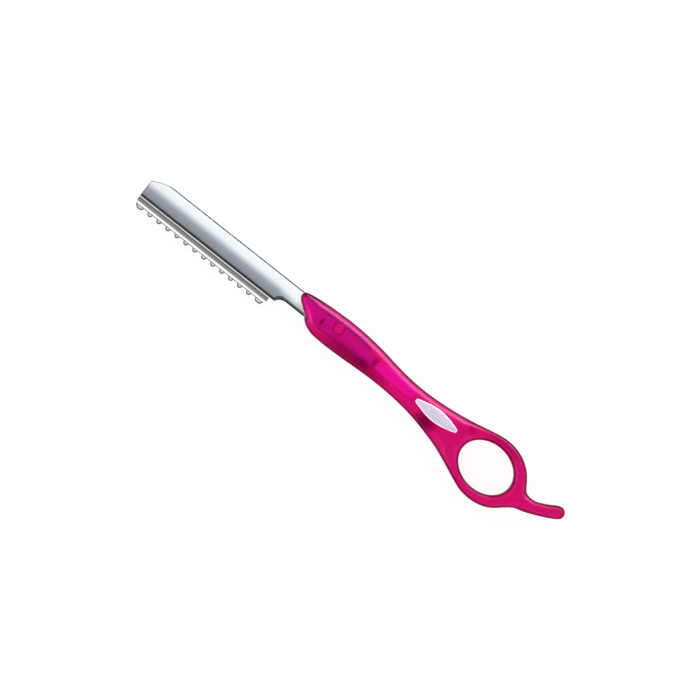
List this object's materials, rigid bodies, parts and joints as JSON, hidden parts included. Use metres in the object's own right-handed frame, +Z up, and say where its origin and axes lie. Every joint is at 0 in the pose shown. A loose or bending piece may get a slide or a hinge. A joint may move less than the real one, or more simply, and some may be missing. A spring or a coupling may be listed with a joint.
{
  "type": "styling razor",
  "caption": "Hair-styling razor: folded steel holder with a guarded slide-in blade, translucent plastic handle with a finger ring and a hooked tail.",
  "frame": {"origin": "on the surface the razor lies on, under the middle of its length and width", "axes": "+X along the razor from the blade tip to the tail, +Y across it towards the spine, +Z up through its thickness towards the labelled front face"},
  "size_m": [0.2043, 0.0268, 0.0071],
  "materials": {
    "handle_plastic": "glossy moulded translucent magenta",
    "label": "satin silver",
    "polished_steel": "mirror polished stainless",
    "core_steel": "rolled stainless",
    "blade_steel": "hardened and ground",
    "guard_steel": "rolled bright strip"
  },
  "bodies": {
    "handle": {"handle_front_half": "handle_plastic", "handle_rear_half": "handle_plastic", "label_plate": "label", "holder_cover": "polished_steel", "core_plate": "core_steel"},
    "cartridge": {"blade": "blade_steel", "guard_front": "guard_steel", "guard_rear": "guard_steel"}
  },
  "joints": [
    {"name": "blade_slide", "type": "slide", "parent": "handle", "child": "cartridge", "axis": [-1, 0, 0], "range_m": [0, 0.066]}
  ]
}
